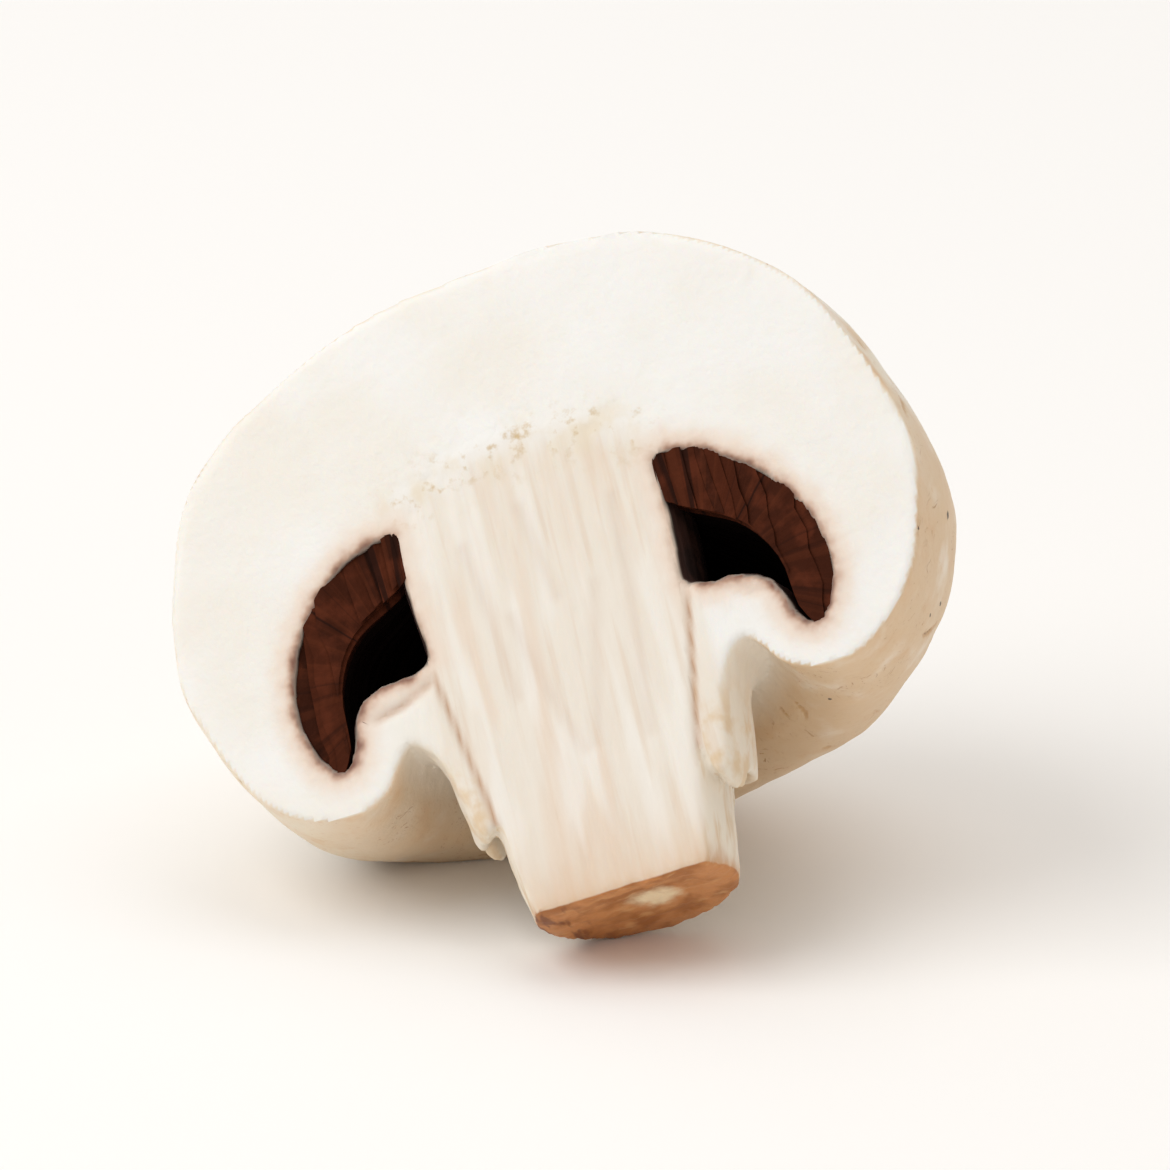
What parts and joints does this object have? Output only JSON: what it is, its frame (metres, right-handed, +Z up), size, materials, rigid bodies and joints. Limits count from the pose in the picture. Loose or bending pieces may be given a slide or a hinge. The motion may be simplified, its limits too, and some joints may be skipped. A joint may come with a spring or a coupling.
{
  "type": "button mushroom",
  "caption": "Closed-cup white button mushroom cut in half lengthwise, showing stem, dark gills and torn veil, lying on its cap and stem end.",
  "frame": {"origin": "on the table, under the middle of the object's bounding box as it lies", "axes": "+Z up from the table; -Y to the side that the cut face looks to; +X to the right of someone looking at the cut face"},
  "size_m": [0.0512, 0.042, 0.0428],
  "materials": {
    "cap_flesh": "soft matte cream-white skin and flesh",
    "stem_flesh": "matte fibrous cream flesh, brown dried end",
    "gill_tissue": "matte dark reddish brown",
    "veil_tissue": "matte white torn membrane"
  },
  "bodies": {
    "root": {"cap": "cap_flesh", "stem": "stem_flesh", "gills": "gill_tissue", "veil": "veil_tissue"}
  },
  "joints": []
}
